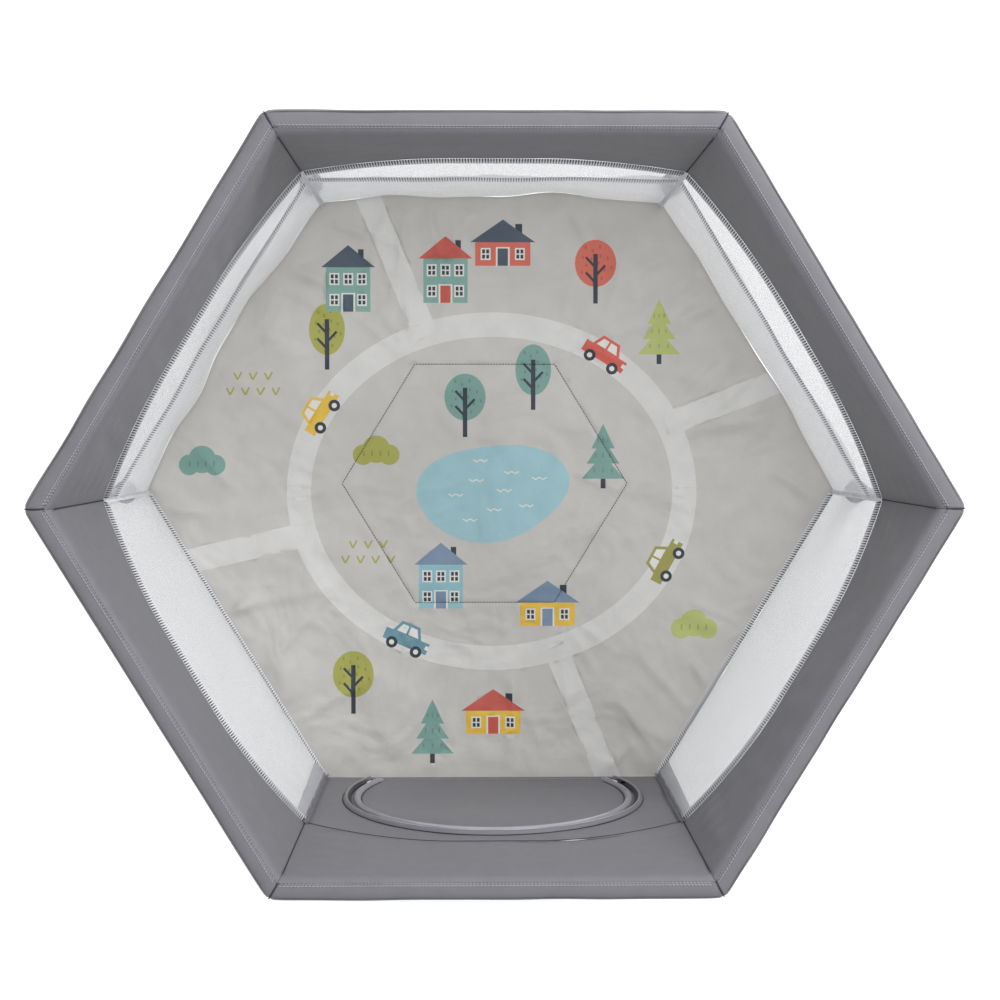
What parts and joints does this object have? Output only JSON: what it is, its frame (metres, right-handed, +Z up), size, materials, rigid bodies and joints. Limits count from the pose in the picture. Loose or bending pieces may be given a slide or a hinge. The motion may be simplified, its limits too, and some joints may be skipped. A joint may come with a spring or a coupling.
{
  "type": "playpen",
  "caption": "Hexagonal baby playpen with padded fabric rails, see-through mesh walls, one solid wall with an arched zipped door and a printed padded floor.",
  "frame": {"origin": "on the ground, at the centre of the pen", "axes": "+X along the pen's long way across, to the right seen from the door side; +Y from the door side to the back; +Z up"},
  "size_m": [1.4286, 1.2012, 0.679],
  "materials": {
    "frame_steel": "light grey powder-coated steel tube",
    "corner_plastic": "light grey moulded plastic",
    "foot_rubber": "dark grey rubber",
    "rail_foam": "pale foam sleeve, hidden by its cover",
    "grey_fabric": "mid-grey smooth woven polyester",
    "mesh_fabric": "white knitted see-through mesh",
    "printed_fabric": "beige-grey polyester printed with a toy town",
    "grip_fabric": "dark non-slip cloth",
    "zip_fabric": "grey zip tape",
    "zip_metal": "dark enamelled zinc"
  },
  "bodies": {
    "pen": {"corner_joint_right": "corner_plastic", "post_right": "frame_steel", "foot_right": "corner_plastic", "foot_pad_right": "foot_rubber", "corner_joint_back_right": "corner_plastic", "post_back_right": "frame_steel", "foot_back_right": "corner_plastic", "foot_pad_back_right": "foot_rubber", "corner_joint_back_left": "corner_plastic", "post_back_left": "frame_steel", "foot_back_left": "corner_plastic", "foot_pad_back_left": "foot_rubber", "corner_joint_left": "corner_plastic", "post_left": "frame_steel", "foot_left": "corner_plastic", "foot_pad_left": "foot_rubber", "corner_joint_front_left": "corner_plastic", "post_front_left": "frame_steel", "foot_front_left": "corner_plastic", "foot_pad_front_left": "foot_rubber", "corner_joint_front_right": "corner_plastic", "post_front_right": "frame_steel", "foot_front_right": "corner_plastic", "foot_pad_front_right": "foot_rubber", "top_rail_back_right": "frame_steel", "rail_foam_back_right": "rail_foam", "rail_cover_back_right": "grey_fabric", "band_back_right": "grey_fabric", "mesh_wall_back_right": "mesh_fabric", "top_rail_back": "frame_steel", "rail_foam_back": "rail_foam", "rail_cover_back": "grey_fabric", "band_back": "grey_fabric", "mesh_wall_back": "mesh_fabric", "top_rail_back_left": "frame_steel", "rail_foam_back_left": "rail_foam", "rail_cover_back_left": "grey_fabric", "band_back_left": "grey_fabric", "mesh_wall_back_left": "mesh_fabric", "top_rail_front_left": "frame_steel", "rail_foam_front_left": "rail_foam", "rail_cover_front_left": "grey_fabric", "band_front_left": "grey_fabric", "mesh_wall_front_left": "mesh_fabric", "top_rail_front": "frame_steel", "rail_foam_front": "rail_foam", "rail_cover_front": "grey_fabric", "band_front": "grey_fabric", "top_rail_front_right": "frame_steel", "rail_foam_front_right": "rail_foam", "rail_cover_front_right": "grey_fabric", "band_front_right": "grey_fabric", "mesh_wall_front_right": "mesh_fabric", "front_wall": "grey_fabric", "zip_tape": "zip_fabric", "floor_panel": "printed_fabric", "grip_patch": "grip_fabric"},
    "door": {"door_flap": "grey_fabric"},
    "slider": {"zip_slider": "zip_metal"},
    "pull": {"zip_pull": "zip_metal"}
  },
  "joints": [
    {"name": "door_fold", "type": "hinge", "parent": "pen", "child": "door", "pos_m": [0, -0.54431, 0.031], "axis": [1, 0, 0], "range_deg": [0, 92]},
    {"name": "zip_travel", "type": "hinge", "parent": "pen", "child": "slider", "pos_m": [0, -0.54816, 0.165], "axis": [0, -0.9997, -0.0227], "range_deg": [0, 225]},
    {"name": "pull_swing", "type": "hinge", "parent": "slider", "child": "pull", "pos_m": [0.2428, -0.55187, 0.06432], "axis": [-0.9239, -0.0087, 0.3826], "range_deg": [0, 175]}
  ]
}
